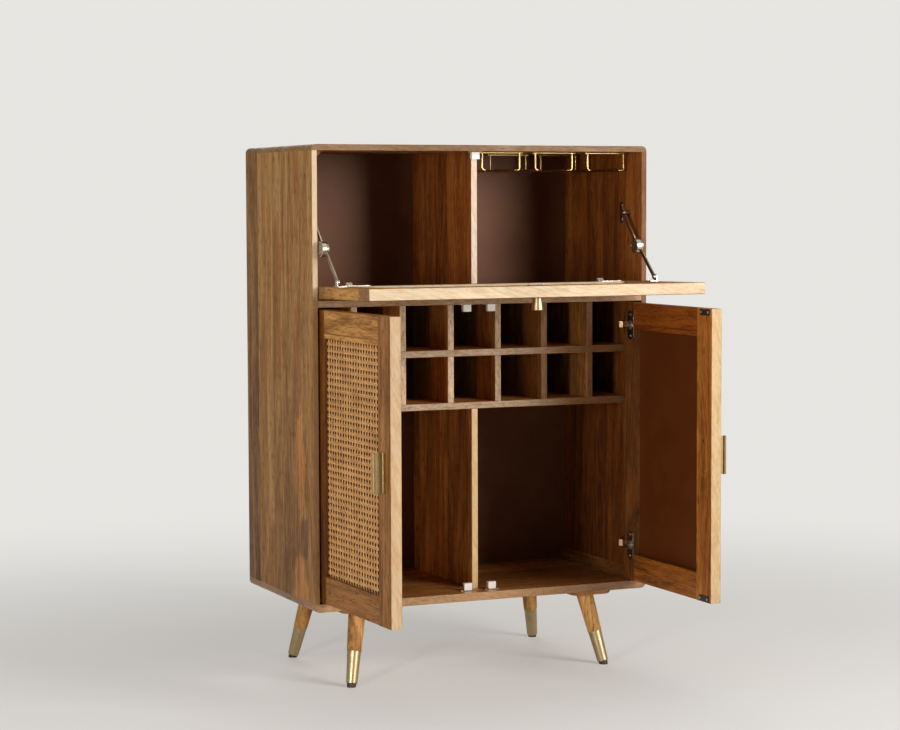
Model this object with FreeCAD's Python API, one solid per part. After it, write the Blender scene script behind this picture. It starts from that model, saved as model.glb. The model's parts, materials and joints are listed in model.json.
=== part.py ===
import FreeCAD, Part
import math
import os
from FreeCAD import Vector

# carcass, in millimetres, +Z up, the open front towards -Y
width = 800.0
depth = 426.0
leg_height = 172.0
body_height = 997.0
side_thickness = 12.5
top_thickness = 13.0
bottom_thickness = 18.0
shelf_thickness = 15.0
divider_thickness = 15.0
lower_clear_share = 0.6661
corner_radius = 12.0
front_round = 1.5
housing_depth = 5.0
housing_setback = 12.0
back_thickness = 5.0
back_inset = 39.0
back_groove = 6.0
strip_leg = 24.0
strip_setback = 32.0
overcut = 10.0
touch = 0.01

# bottle rack: seven columns, two rows, set back from the front
rack_setback = 54.5
rack_pitch_share = 0.14705
rack_columns = 7
cell_height = 101.5

# leaves: two doors and a drop flap, all inset
door_thickness = 25.0
door_hinge_stile = 45.0
door_free_stile = 60.0
door_rail = 60.0
door_top_gap = 4.0
door_bottom_gap = 3.0
door_meeting_gap = 3.0
flap_thickness = 25.0
flap_rail = 60.0
flap_stile = 60.0
flap_top_gap = 2.5
flap_side_gap = 2.0
hinge_gap = 3.0
leaf_round = 2.0
hinge_round = 4.0
panel_recess = 6.0
cane_thickness = 1.5
backing_thickness = 3.0
panel_groove = 8.0
left_open_angle = 88.2
right_open_angle = 90.5
flap_open_angle = 89.0

# concealed hinge: pin inside the leaf, gooseneck arm on the carcass, cup and flange on the leaf
pin_from_edge = 13.0
pin_from_face = 11.5
pin_radius = 1.6
pin_seat = 6.0
running_play = 0.05
eye_radius = 3.0
pocket_play = 0.4
pocket_under = 6.0
arm_height = 14.0
arm_neck = 4.0
arm_play = 2.0
arm_hump = 36.0
arm_hump_length = 9.0
arm_slope_length = 15.0
arm_length = 46.0
arm_tail = 10.0
arm_bevel = 6.0
plate_length = 26.0
plate_height = 44.0
plate_thickness = 2.5
flange_width = 26.0
flange_height = 63.0
flange_thickness = 1.5
flange_round = 9.0
flange_offset = 0.4
cup_radius = 11.5
cup_shell = 1.0
cup_depth = 10.0
door_hinge_top = 50.0
door_hinge_bottom = 80.0
flap_hinge_inset = 83.0

# door pull, flap knob, strikes and catches
pull_inset = 30.0
pull_length = 82.0
pull_foot_width = 13.0
pull_foot_height = 3.0
pull_web = 4.0
pull_reach = 28.0
pull_bead_radius = 3.6
pull_fillet = 3.5
pull_screw_pitch = 64.0
bolt_radius = 2.0
bolt_head_radius = 4.0
bolt_head_height = 1.8
knob_inset = 24.0
knob_base_radius = 9.8
knob_end_radius = 13.2
knob_height = 27.0
knob_round = 1.6
strike_length = 39.0
strike_height = 13.0
strike_thickness = 1.5
strike_inset = 27.5
strike_edge = 8.0
strike_round = 2.0
flap_strike_edge = 12.0
flap_catch_offset = 8.0
catch_play = 0.5
catch_width = 19.0
catch_depth = 10.0
catch_height = 17.0
catch_round = 1.0
ear_span = 37.0
ear_depth = 8.0
ear_thickness = 1.5
ear_round = 3.0

# folding stays of the flap
stay_wall_back = 56.5
stay_wall_up = 182.0
stay_foot_along = 109.0
stay_foot_rise = 10.0
stay_elbow_drop = 4.0
stay_arm_width = 9.0
stay_arm_thickness = 3.0
stay_layer_gap = 0.3
stay_eye_radius = 7.0
stay_foot_eye_radius = 6.0
left_drum_from_wall = 0.6
right_collar_from_wall = 8.5
drum_radius = 16.5
drum_depth = 10.0
drum_round = 1.5
drum_recess_radius = 14.0
drum_recess_depth = 2.2
dial_radius = 12.0
dial_height = 1.8
dial_notches = 10
dial_notch_radius = 1.7
collar_radius = 15.0
collar_depth = 6.5
collar_round = 1.5
stay_pin_radius = 2.6
stay_head_radius = 5.0
stay_head_height = 1.4
stay_plate_thickness = 2.5
stay_plate_height = 48.0
stay_plate_width = 14.0
stay_plate_back = 37.0
stay_link_height = 12.0
stay_foot_length = 26.0
stay_foot_width = 20.0
stay_foot_thickness = 2.0
stay_screw_inset = 7.0
stay_screw_radius = 4.0

# legs
leg_top_from_side = 123.0
leg_tip_from_side = 93.0
leg_top_from_front = 66.0
leg_tip_from_front = 27.0
block_thickness = 12.0
block_length = 104.0
block_width = 92.0
block_corner = 22.0
block_round = 8.0
leg_top_radius = 19.0
leg_joint_radius = 15.9
ferrule_top_radius = 15.2
ferrule_tip_radius = 12.3
ferrule_wall = 0.9
ferrule_start = 8.0
ferrule_end = 77.0
glide_radius = 10.4
glide_round = 2.0
leg_bolt_radius = 4.0
leg_bolt_grip = 34.0
leg_bolt_reach = 10.0

# hanging rack for stemmed glasses: three wire channels under the top
wire_radius = 2.2
channel_count = 3
channel_first_share = 0.0568
channel_pitch_share = 0.3355
channel_width_share = 0.2349
channel_drop = 38.0
channel_lip = 11.0
channel_front = 60.0
channel_length_share = 0.5635
channel_bend = 6.0
bar_left_overhang = 7.0
bar_right_overhang = 7.0

os.makedirs("parts", exist_ok=True)

front = -depth / 2
rear = depth / 2
wall = width / 2 - side_thickness
floor_top = leg_height + bottom_thickness
clear_height = body_height - top_thickness - bottom_thickness - shelf_thickness
shelf_bottom = floor_top + clear_height * lower_clear_share
shelf_top = shelf_bottom + shelf_thickness
body_top = leg_height + body_height
ceiling = body_top - top_thickness
back_rear = rear - back_inset
back_front = back_rear - back_thickness
rack_front = front + rack_setback
row_top = shelf_bottom - cell_height
row_bottom = row_top - divider_thickness
rack_top = row_bottom - cell_height
rack_bottom = rack_top - divider_thickness
rack_pitch = 2 * wall * rack_pitch_share
along_x = Vector(1, 0, 0)
along_y = Vector(0, 1, 0)
along_z = Vector(0, 0, 1)
centre = Vector(0, 0, 0)
nodes = {}


def box(x0, x1, y0, y1, z0, z1):
    return Part.makeBox(x1 - x0, y1 - y0, z1 - z0, Vector(x0, y0, z0))


def rod(radius, start, end):
    run = end - start
    return Part.makeCylinder(radius, run.Length, start, run)


def cone(start_radius, end_radius, start, end):
    run = end - start
    return Part.makeCone(start_radius, end_radius, run.Length, start, run)


def rounded(shape, radius, wanted):
    edges = [edge for edge in shape.Edges if wanted(edge.BoundBox)]
    return shape.makeFillet(radius, edges)


def prism(points, run):
    face = Part.Face(Part.makePolygon(points + points[:1]))
    return face.extrude(run)


def joined(shapes):
    whole = shapes[0].fuse(shapes[1:])
    return whole.removeSplitter()


def level(low, high, value):
    return abs(low - value) < touch and abs(high - value) < touch


def mirrored(shape):
    return shape.mirror(centre, along_x)


# boards of the carcass
back_panel = box(-wall - back_groove, wall + back_groove, back_front, back_rear,
                 floor_top - back_groove, ceiling + back_groove)
shelf_tongue = box(-wall - housing_depth, wall + housing_depth, front + housing_setback, back_front,
                   shelf_bottom, shelf_top)
middle_shelf = joined([box(-wall, wall, front, back_front, shelf_bottom, shelf_top), shelf_tongue])
middle_shelf = rounded(middle_shelf, front_round, lambda b: level(b.YMin, b.YMax, front) and b.XLength > wall)


def end_board(low, high, outer, inner):
    board = box(-width / 2, width / 2, front, rear, low, high)
    board = rounded(board, corner_radius,
                    lambda b: level(b.ZMin, b.ZMax, outer) and abs(abs(b.XMin) - width / 2) < touch
                    and b.YLength > depth / 2)
    board = rounded(board, front_round,
                    lambda b: level(b.YMin, b.YMax, front) and not level(b.ZMin, b.ZMax, inner))
    return board.cut(back_panel)


nodes["top_panel"] = end_board(ceiling, body_top, body_top, ceiling)
bottom_panel = end_board(leg_height, floor_top, leg_height, floor_top)
right_side = box(wall, width / 2, front, rear, floor_top, ceiling)
right_side = rounded(right_side, front_round,
                     lambda b: level(b.YMin, b.YMax, front) and b.ZLength > side_thickness * 2)
nodes["right_side_panel"] = right_side.cut([back_panel, shelf_tongue])
nodes["left_side_panel"] = mirrored(right_side).cut([back_panel, shelf_tongue])
nodes["back_panel"] = back_panel
nodes["middle_shelf"] = middle_shelf
half_board = divider_thickness / 2


def divider(low, high, x):
    board = box(x - half_board, x + half_board, rack_front, back_front, low, high)
    return rounded(board, front_round, lambda b: level(b.YMin, b.YMax, rack_front) and b.ZLength > b.XLength)


def rack_board(low, high):
    board = box(-wall, wall, rack_front, back_front, low, high)
    return rounded(board, front_round, lambda b: level(b.YMin, b.YMax, rack_front) and b.XLength > b.ZLength)


nodes["upper_divider"] = divider(shelf_top, ceiling, 0)
nodes["lower_divider"] = divider(floor_top, rack_bottom, 0)
nodes["rack_bottom_board"] = rack_board(rack_bottom, rack_top)
row_board = rack_board(row_bottom, row_top)
lap = (rack_front + back_front) / 2
for index in range(rack_columns - 1):
    x = (index - (rack_columns - 2) / 2) * rack_pitch
    upright = divider(rack_top, shelf_bottom, x)
    notch = box(x - half_board - overcut, x + half_board + overcut, rack_front - overcut, lap,
                row_bottom, row_top)
    nodes["rack_divider_%d" % (index + 1)] = upright.cut(notch)
    row_board = row_board.cut(box(x - half_board, x + half_board, lap, back_front + overcut,
                                  row_bottom - overcut, row_top + overcut))
nodes["rack_row_board"] = row_board


# three-cornered strips glued into the inner corners
def corner_strip(x, z, inward, upward):
    points = [Vector(x, front + strip_setback, z), Vector(x + inward * strip_leg, front + strip_setback, z),
              Vector(x, front + strip_setback, z + upward * strip_leg)]
    return prism(points, Vector(0, back_front - front - strip_setback, 0))


nodes["corner_strips"] = Part.makeCompound([corner_strip(-wall, ceiling, 1, -1),
                                            corner_strip(-wall, floor_top, 1, 1),
                                            corner_strip(wall, floor_top, -1, 1)])


# legs: splayed turned cone, spigot in a brass ferrule, dark glide, bolt through a block under the floor
block_bottom = leg_height - block_thickness
leg_top_x = width / 2 - leg_top_from_side
leg_tip_x = width / 2 - leg_tip_from_side
leg_top_y = depth / 2 - leg_top_from_front
leg_tip_y = depth / 2 - leg_tip_from_front
legs = []
blocks = []
ferrules = []
glides = []
bolts = []
for side_y in (-1, 1):
    for side_x in (-1, 1):
        top = Vector(side_x * leg_top_x, side_y * leg_top_y, block_bottom)
        tip = Vector(side_x * leg_tip_x, side_y * leg_tip_y, 0)
        rise = (top - tip).normalize()
        run = (top - tip).Length

        def at(distance):
            return tip + rise * distance

        block = box(top.x - block_length / 2, top.x + block_length / 2, top.y - block_width / 2,
                    top.y + block_width / 2, block_bottom, leg_height)
        block = rounded(block, block_corner, lambda b: b.ZLength > block_thickness / 2)
        block = rounded(block, block_round, lambda b: level(b.ZMin, b.ZMax, block_bottom))
        taper = (leg_top_radius - leg_joint_radius) / (run - ferrule_end)
        beyond = leg_top_radius * 2
        wood = cone(leg_joint_radius, leg_top_radius + taper * beyond, at(ferrule_end), at(run + beyond))
        wood = wood.common(box(tip.x - block_length, tip.x + block_length, tip.y - block_length,
                               tip.y + block_length, 0, block_bottom))
        spigot = cone(ferrule_tip_radius - ferrule_wall, ferrule_top_radius - ferrule_wall,
                      at(ferrule_start), at(ferrule_end))
        shell = cone(ferrule_tip_radius, ferrule_top_radius, at(ferrule_start), at(ferrule_end))
        bolt = rod(leg_bolt_radius, at(run - leg_bolt_grip), at(run + block_thickness + leg_bolt_reach))
        glide = cone(glide_radius - glide_round, glide_radius, at(-ferrule_start), at(ferrule_start))
        glides.append(glide.common(box(tip.x - block_length, tip.x + block_length, tip.y - block_length,
                                       tip.y + block_length, 0, leg_height)))
        legs.append(joined([wood, spigot]).cut(bolt))
        ferrules.append(shell.cut(spigot))
        blocks.append(block.cut(bolt))
        bolts.append(bolt)
        bottom_panel = bottom_panel.cut(bolt)
nodes["bottom_panel"] = bottom_panel
nodes["legs"] = Part.makeCompound(legs)
nodes["leg_blocks"] = Part.makeCompound(blocks)
nodes["leg_ferrules"] = Part.makeCompound(ferrules)
nodes["leg_glides"] = Part.makeCompound(glides)
nodes["leg_bolts"] = Part.makeCompound(bolts)


# wire channels: a bent rail each side of the channel, tied by a bar at the front and at the back
def bent_wire(points):
    path = [points[0]]
    pieces = []
    for before, corner, after in zip(points, points[1:], points[2:]):
        back = (before - corner).normalize() * channel_bend
        ahead = (after - corner).normalize() * channel_bend
        middle = corner + (back + ahead) * (1 - 1 / math.sqrt(2))
        pieces.append(Part.makeLine(path[-1], corner + back))
        pieces.append(Part.Arc(corner + back, middle, corner + ahead).toShape())
        path.append(corner + ahead)
    pieces.append(Part.makeLine(path[-1], points[-1]))
    wire = Part.Wire(pieces)
    ring = Part.Wire(Part.makeCircle(wire_radius, points[0], points[1] - points[0]))
    return wire.makePipeShell([ring], True, False)


channels = []
bar_z = ceiling - wire_radius
rail_z = bar_z - channel_drop
wire_front = front + channel_front
wire_back = wire_front + depth * channel_length_share
channel_pitch = wall * channel_pitch_share
channel_width = wall * channel_width_share
for index in range(channel_count):
    left = wall * channel_first_share + index * channel_pitch
    right = left + channel_width
    pieces = []
    for x, lip in ((left, channel_lip), (right, -channel_lip)):
        pieces.append(bent_wire([Vector(x, wire_front, bar_z), Vector(x, wire_front, rail_z),
                                 Vector(x + lip, wire_front, rail_z), Vector(x + lip, wire_back, rail_z),
                                 Vector(x, wire_back, rail_z), Vector(x, wire_back, bar_z)]))
    for y in (wire_front, wire_back):
        pieces.append(rod(wire_radius, Vector(left - bar_left_overhang, y, bar_z),
                          Vector(right + bar_right_overhang, y, bar_z)))
    channels.append(joined(pieces))
nodes["stemware_channels"] = Part.makeCompound(channels)


# magnetic catches: an upright body with an ear on each side, screwed to the board
def catch(x, y, z, upward):
    low, high = sorted((z, z + upward * catch_height))
    body = box(x - catch_width / 2, x + catch_width / 2, y, y + catch_depth, low, high)
    body = rounded(body, catch_round, lambda b: b.ZLength > catch_height / 2)
    low, high = sorted((z, z + upward * ear_thickness))
    middle = y + catch_depth / 2
    ears = box(x - ear_span / 2, x + ear_span / 2, middle - ear_depth / 2, middle + ear_depth / 2, low, high)
    ears = rounded(ears, ear_round, lambda b: b.ZLength > ear_thickness / 2 and b.XLength < touch)
    return joined([body, ears])


door_catch_x = door_meeting_gap / 2 + strike_inset
door_catch_y = front + door_thickness + strike_thickness + catch_play
flap_catch_y = front + flap_thickness + strike_thickness + catch_play
nodes["magnet_catches"] = Part.makeCompound(
    [catch(side * door_catch_x, door_catch_y, z, upward)
     for side in (-1, 1) for z, upward in ((shelf_bottom, -1), (floor_top, 1))]
    + [catch(-flap_catch_offset, flap_catch_y, ceiling, -1)])


# a leaf lies in its own frame: X from the hinge edge, Y from the outer face inwards, Z along the hinge
def leaf(breadth, length, thickness, hinge_member, free_member, end_member, hinges):
    groove_low = panel_recess
    groove_high = panel_recess + cane_thickness + backing_thickness
    inner = hinge_member - panel_groove
    outer = breadth - free_member + panel_groove

    def groove(x0, x1, z0, z1):
        return box(x0, x1, groove_low, groove_high, z0, z1)

    stile = box(0, hinge_member, 0, thickness, 0, length)
    stile = rounded(stile, hinge_round, lambda b: level(b.XMin, b.XMax, 0) and level(b.YMin, b.YMax, 0))
    stile = rounded(stile, leaf_round,
                    lambda b: level(b.XMin, b.XMax, 0) and level(b.YMin, b.YMax, thickness))
    stile = stile.cut(groove(inner, hinge_member, 0, length))
    free = box(breadth - free_member, breadth, 0, thickness, 0, length)
    free = rounded(free, leaf_round, lambda b: level(b.XMin, b.XMax, breadth) and b.ZLength > length / 2)
    free = free.cut(groove(breadth - free_member, outer, 0, length))
    ends = []
    for edge, low, mouth in ((0, 0, end_member - panel_groove),
                             (length, length - end_member, length - end_member)):
        rail = box(hinge_member, breadth - free_member, 0, thickness, low, low + end_member)
        rail = rounded(rail, leaf_round, lambda b: level(b.ZMin, b.ZMax, edge) and b.XLength > leaf_round)
        rail = joined([rail, groove(inner, outer, low, low + end_member)])
        ends.append(rail.cut(groove(inner, outer, mouth, mouth + panel_groove)))
    panel_low = end_member - panel_groove
    panel_high = length - panel_low
    cane = box(inner, outer, groove_low, groove_low + cane_thickness, panel_low, panel_high)
    backing = box(inner, outer, groove_low + cane_thickness, groove_high, panel_low, panel_high)
    cups = []
    pocket_half = arm_height / 2 + pocket_play
    pocket_end = pin_from_edge + eye_radius + pocket_play
    for z in hinges:
        pocket = box(-overcut, pocket_end, pin_from_face - pocket_under, thickness + overcut,
                     z - pocket_half, z + pocket_half)
        pin = rod(pin_radius, Vector(pin_from_edge, pin_from_face, z - pocket_half - pin_seat),
                  Vector(pin_from_edge, pin_from_face, z + pocket_half + pin_seat))
        flange_low = pocket_end + flange_offset
        middle = flange_low + flange_width / 2
        bowl = rod(cup_radius, Vector(middle, thickness - cup_depth, z), Vector(middle, thickness, z))
        hollow = rod(cup_radius - cup_shell, Vector(middle, thickness - cup_depth + cup_shell, z),
                     Vector(middle, thickness + overcut, z))
        flange = box(flange_low, flange_low + flange_width, thickness, thickness + flange_thickness,
                     z - flange_height / 2, z + flange_height / 2)
        flange = rounded(flange, flange_round, lambda b: b.YLength > flange_thickness / 2)
        cups.append(joined([flange, bowl]).cut(hollow))
        cups.append(pin)
        stile = stile.cut([pocket, pin, bowl])
    return {"hinge": stile, "free": free, "low": ends[0], "high": ends[1], "cane": cane,
            "backing": backing, "cups": Part.makeCompound(cups)}


# gooseneck arm in the same frame, standing on the carcass at X = -hinge_gap
def hinge_arm(thickness, z):
    swing = math.hypot(pin_from_edge, thickness - pin_from_face)
    near = pin_from_face + swing + arm_play
    far = near + arm_length
    left = pin_from_edge - arm_neck / 2
    right = pin_from_edge + arm_neck / 2
    peak = arm_hump - hinge_gap
    low = z - arm_height / 2
    crest = near + arm_hump_length
    outline = [(-hinge_gap, far - plate_length), (-hinge_gap, far), (arm_tail - hinge_gap, far),
               (arm_tail - hinge_gap, crest + arm_slope_length), (peak, crest),
               (peak, near + arm_bevel), (peak - arm_bevel, near),
               (right, near), (right, pin_from_face), (left, pin_from_face), (left, near + arm_bevel)]
    arm = prism([Vector(x, y, low) for x, y in outline], Vector(0, 0, arm_height))
    eye = rod(eye_radius, Vector(pin_from_edge, pin_from_face, low),
              Vector(pin_from_edge, pin_from_face, low + arm_height))
    plate = box(-hinge_gap, plate_thickness - hinge_gap, far - plate_length, far,
                z - plate_height / 2, z + plate_height / 2)
    hole = rod(pin_radius + running_play, Vector(pin_from_edge, pin_from_face, low - overcut),
               Vector(pin_from_edge, pin_from_face, low + arm_height + overcut))
    return joined([arm, eye, plate]).cut(hole)


# bolt through a leaf with its head on the inner face
def leaf_bolt(x, z, thickness):
    shank = rod(bolt_radius, Vector(x, 0, z), Vector(x, thickness, z))
    head = rod(bolt_head_radius, Vector(x, thickness, z), Vector(x, thickness + bolt_head_height, z))
    head = rounded(head, bolt_head_height / 2, lambda b: level(b.YMin, b.YMax, thickness + bolt_head_height))
    return joined([shank, head])


def strike(x, z, thickness, x_size, z_size):
    plate = box(x - x_size / 2, x + x_size / 2, thickness, thickness + strike_thickness,
                z - z_size / 2, z + z_size / 2)
    return rounded(plate, strike_round, lambda b: b.YLength > strike_thickness / 2)


# doors
door_breadth = wall - hinge_gap - door_meeting_gap / 2
door_low = floor_top + door_bottom_gap
door_length = shelf_bottom - door_top_gap - door_low
door_hinges = (door_hinge_bottom, door_length - door_hinge_top)
pull_x = door_breadth - pull_inset
pull_low = (door_length - pull_length) / 2
door = leaf(door_breadth, door_length, door_thickness, door_hinge_stile, door_free_stile, door_rail,
            door_hinges)
foot = box(pull_x - pull_foot_width / 2, pull_x + pull_foot_width / 2, -pull_foot_height, 0,
           pull_low, pull_low + pull_length)
web = box(pull_x - pull_web / 2, pull_x + pull_web / 2, -pull_reach + pull_bead_radius, 0,
          pull_low, pull_low + pull_length)
bead_x = pull_x + pull_bead_radius - pull_web / 2
bead = rod(pull_bead_radius, Vector(bead_x, pull_bead_radius - pull_reach, pull_low),
           Vector(bead_x, pull_bead_radius - pull_reach, pull_low + pull_length))
pull = joined([foot, web])
pull = rounded(pull, pull_fillet, lambda b: level(b.YMin, b.YMax, -pull_foot_height)
               and level(b.XMin, b.XMax, (b.XMin + b.XMax) / 2) and abs(b.XMin - pull_x) < pull_web)
pull = joined([pull, bead])
screws = [leaf_bolt(pull_x, door_length / 2 + side * pull_screw_pitch / 2, door_thickness)
          for side in (-1, 1)]
door["free"] = door["free"].cut(screws)
door["pull"] = joined([pull] + screws)
door["strikes"] = Part.makeCompound([strike(door_breadth - strike_inset, z, door_thickness,
                                            strike_length, strike_height)
                                     for z in (strike_edge, door_length - strike_edge)])
door_arms = Part.makeCompound([hinge_arm(door_thickness, z) for z in door_hinges])
left_place = Vector(hinge_gap - wall, front, door_low)
left_axis = left_place + Vector(pin_from_edge, pin_from_face, 0)
right_axis = Vector(-left_axis.x, left_axis.y, left_axis.z)
door_names = {"hinge": "hinge_stile", "free": "free_stile", "low": "bottom_rail", "high": "top_rail",
              "cane": "cane_panel", "backing": "backing_panel", "cups": "hinge_cups", "pull": "pull",
              "strikes": "strike_plates"}
for piece, name in door_names.items():
    shape = door[piece].translated(left_place)
    nodes["left_door_" + name] = shape.rotated(left_axis, along_z, -left_open_angle)
    nodes["right_door_" + name] = mirrored(shape).rotated(right_axis, along_z, right_open_angle)
left_arms = door_arms.translated(left_place)
nodes["door_hinge_arms"] = Part.makeCompound([left_arms, mirrored(left_arms)])


# drop flap: the same leaf turned so that its hinge edge lies along the shelf
flap_breadth = ceiling - flap_top_gap - shelf_top - hinge_gap
flap_length = 2 * (wall - flap_side_gap)
flap_hinges = (flap_hinge_inset, flap_length - flap_hinge_inset)
flap = leaf(flap_breadth, flap_length, flap_thickness, flap_rail, flap_rail, flap_stile, flap_hinges)
knob_x = flap_breadth - knob_inset
knob_z = flap_length / 2
knob = cone(knob_base_radius, knob_end_radius, Vector(knob_x, 0, knob_z),
            Vector(knob_x, -knob_height, knob_z))
knob = rounded(knob, knob_round, lambda b: level(b.YMin, b.YMax, -knob_height))
knob_bolt = leaf_bolt(knob_x, knob_z, flap_thickness)
flap["free"] = flap["free"].cut(knob_bolt)
flap["knob"] = joined([knob, knob_bolt])
flap["strike"] = strike(flap_breadth - flap_strike_edge + strike_round, knob_z + flap_catch_offset,
                        flap_thickness, strike_height, strike_length)
flap_place = Vector(flap_length / 2, front, shelf_top + hinge_gap)
flap_axis = Vector(0, front + pin_from_face, shelf_top + hinge_gap + pin_from_edge)


def flap_closed(shape):
    return shape.rotated(centre, along_y, -90).translated(flap_place)


def flap_open(shape):
    return shape.rotated(flap_axis, along_x, flap_open_angle)


# folding stays, worked out in the plane of their arms: both are the same hand, so the dial of the left one
# faces its wall and the dial of the right one faces the room
def turned(point, degrees):
    reach = point - flap_axis
    angle = math.radians(degrees)
    return flap_axis + Vector(reach.x, reach.y * math.cos(angle) - reach.z * math.sin(angle),
                              reach.y * math.sin(angle) + reach.z * math.cos(angle))


wall_pivot = Vector(0, front + stay_wall_back, shelf_top + stay_wall_up)
foot_closed = Vector(0, front + flap_thickness + stay_foot_rise, shelf_top + hinge_gap + stay_foot_along)
foot_pivot = turned(foot_closed, flap_open_angle)
span = foot_pivot - wall_pivot
fall = Vector(0, -span.z, span.y).normalize()
elbow = wall_pivot + span / 2 + fall * stay_elbow_drop


def disc(point, radius, x0, x1):
    return rod(radius, Vector(x0, point.y, point.z), Vector(x1, point.y, point.z))


def flat_bar(start, end, x0, x1):
    run = (end - start).normalize()
    aside = Vector(0, -run.z, run.y) * (stay_arm_width / 2)
    points = [start + aside, end + aside, end - aside, start - aside]
    return prism([Vector(x0, p.y, p.z) for p in points], Vector(x1 - x0, 0, 0))


# upper arm with its drum: a recess in the drum's face holds the notched dial
def stay_upper_arm(dial_face):
    high = dial_face + drum_depth
    low = high - stay_arm_thickness
    drum = rounded(disc(elbow, drum_radius, dial_face, high), drum_round,
                   lambda b: level(b.XMin, b.XMax, dial_face))
    recess_floor = dial_face + drum_recess_depth
    drum = drum.cut(disc(elbow, drum_recess_radius, dial_face - overcut, recess_floor))
    dial = disc(elbow, dial_radius, recess_floor - dial_height, recess_floor)
    for step in range(dial_notches):
        angle = 2 * math.pi * step / dial_notches
        rim = elbow + Vector(0, math.cos(angle), math.sin(angle)) * dial_radius
        dial = dial.cut(disc(rim, dial_notch_radius, dial_face, recess_floor))
    eye = disc(wall_pivot, stay_eye_radius, low, high)
    arm = joined([eye, flat_bar(wall_pivot, elbow, low, high), drum, dial])
    return arm.cut(disc(wall_pivot, stay_pin_radius + running_play, low, high))


# lower arm: a flat bar with a thick collar over the drum's end and a small eye at the foot
def stay_lower_arm(low):
    high = low + stay_arm_thickness
    far = low + collar_depth
    collar = rounded(disc(elbow, collar_radius, low, far), collar_round, lambda b: level(b.XMin, b.XMax, far))
    arm = joined([collar, flat_bar(elbow, foot_pivot, low, high),
                  disc(foot_pivot, stay_foot_eye_radius, low, high)])
    return arm.cut(disc(foot_pivot, stay_pin_radius + running_play, low, high))


# wall bracket: a screwed plate, a link and a boss whose pin carries the upper arm
def stay_wall_bracket(side, near, far):
    face = side * (wall - stay_plate_thickness)
    boss_end = near + side * stay_layer_gap
    head = far - side * stay_layer_gap
    plate_y = wall_pivot.y + stay_plate_back
    x0, x1 = sorted((face, side * wall))
    plate = box(x0, x1, plate_y - stay_plate_width / 2, plate_y + stay_plate_width / 2,
                wall_pivot.z - stay_plate_height / 2, wall_pivot.z + stay_plate_height / 2)
    plate = rounded(plate, stay_plate_width / 2 - touch * 10, lambda b: b.XLength > stay_plate_thickness / 2)
    link = box(x0, x1, wall_pivot.y, plate_y, wall_pivot.z - stay_link_height / 2,
               wall_pivot.z + stay_link_height / 2)
    screws = [disc(Vector(0, plate_y, wall_pivot.z + end * (stay_plate_height / 2 - stay_screw_inset)),
                   stay_screw_radius, face - side * stay_head_height, face) for end in (-1, 1)]
    return joined([plate, link, disc(wall_pivot, stay_link_height / 2, boss_end, side * wall),
                   disc(wall_pivot, stay_pin_radius, head, boss_end),
                   disc(wall_pivot, stay_head_radius, head - side * stay_head_height, head)] + screws)


# foot bracket on the flap: a base and an ear on the wall side of the lower arm, with the pin through both
def stay_foot_bracket(side, near, far):
    ear_face = near + side * stay_layer_gap
    ear_back = ear_face + side * stay_foot_thickness
    head = far - side * stay_layer_gap
    flap_face = front + flap_thickness
    x0, x1 = sorted((ear_back, ear_back - side * stay_foot_width))
    base = box(x0, x1, flap_face, flap_face + stay_foot_thickness, foot_closed.z - stay_foot_length / 2,
               foot_closed.z + stay_foot_length / 2)
    x0, x1 = sorted((ear_face, ear_back))
    ear = box(x0, x1, flap_face, foot_closed.y, foot_closed.z - stay_foot_eye_radius,
              foot_closed.z + stay_foot_eye_radius)
    return joined([base, ear, disc(foot_closed, stay_foot_eye_radius, ear_face, ear_back),
                   disc(foot_closed, stay_pin_radius, head, ear_face),
                   disc(foot_closed, stay_head_radius, head - side * stay_head_height, head)])


wall_brackets = []
foot_brackets = []
right_dial_face = wall - right_collar_from_wall - collar_depth - stay_layer_gap - drum_depth
for name, side, dial_face in (("left", -1, left_drum_from_wall - wall), ("right", 1, right_dial_face)):
    upper_ends = (dial_face + drum_depth, dial_face + drum_depth - stay_arm_thickness)
    lower_low = upper_ends[0] + stay_layer_gap
    lower_ends = (lower_low + stay_arm_thickness, lower_low)
    nodes[name + "_stay_upper_arm"] = stay_upper_arm(dial_face)
    nodes[name + "_stay_lower_arm"] = stay_lower_arm(lower_low)
    wall_brackets.append(stay_wall_bracket(side, *upper_ends[::side]))
    foot_brackets.append(stay_foot_bracket(side, *lower_ends[::side]))
nodes["stay_wall_brackets"] = Part.makeCompound(wall_brackets)
nodes["stay_foot_brackets"] = flap_open(Part.makeCompound(foot_brackets))
flap_names = {"hinge": "rear_rail", "free": "front_rail", "low": "right_stile", "high": "left_stile",
              "cane": "cane_panel", "backing": "backing_panel", "cups": "hinge_cups", "knob": "knob",
              "strike": "strike_plate"}
for piece, name in flap_names.items():
    nodes["flap_" + name] = flap_open(flap_closed(flap[piece]))
nodes["flap_hinge_arms"] = flap_closed(Part.makeCompound([hinge_arm(flap_thickness, z) for z in flap_hinges]))

for name, shape in nodes.items():
    shape.exportStep("parts/%s.step" % name)
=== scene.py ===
import json
import math
import bpy
import numpy as np
from mathutils import Matrix, Vector


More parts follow.
